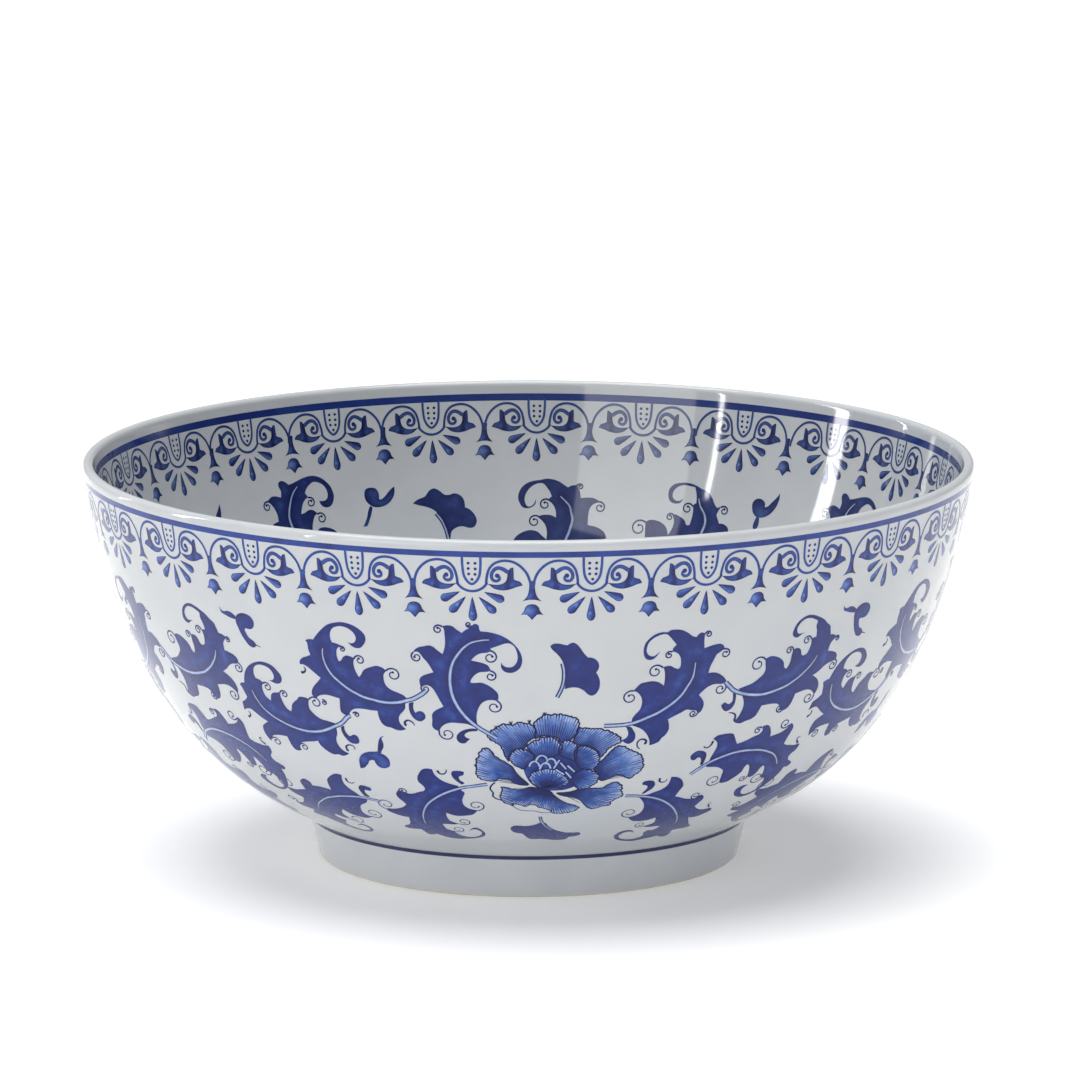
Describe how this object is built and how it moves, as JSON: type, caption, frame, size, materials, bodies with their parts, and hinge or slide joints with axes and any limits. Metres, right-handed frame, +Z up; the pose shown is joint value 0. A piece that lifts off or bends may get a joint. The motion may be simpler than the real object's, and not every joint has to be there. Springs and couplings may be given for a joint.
{
  "type": "serving bowl",
  "caption": "Deep round porcelain serving bowl on a foot ring, white glaze with underglaze cobalt scrolls, lined rim and lined foot.",
  "frame": {"origin": "centre of the foot ring's resting plane, on the bowl's axis", "axes": "+Z up along the bowl's axis; +X to the right and -Y to the front as the bowl is viewed"},
  "size_m": [0.356, 0.356, 0.161],
  "materials": {
    "porcelain": "bare fired porcelain, matt",
    "glaze": "clear gloss glaze over cool white porcelain",
    "cobalt": "underglaze cobalt blue beneath the same gloss glaze"
  },
  "bodies": {
    "root": {"porcelain_body": "porcelain", "foot_ring": "porcelain", "outer_glaze": "glaze", "lip_glaze": "glaze", "inner_glaze": "glaze", "foot_glaze": "glaze", "recess_glaze": "glaze", "outer_rim_line": "cobalt", "inner_rim_line": "cobalt", "foot_line": "cobalt"}
  },
  "joints": []
}
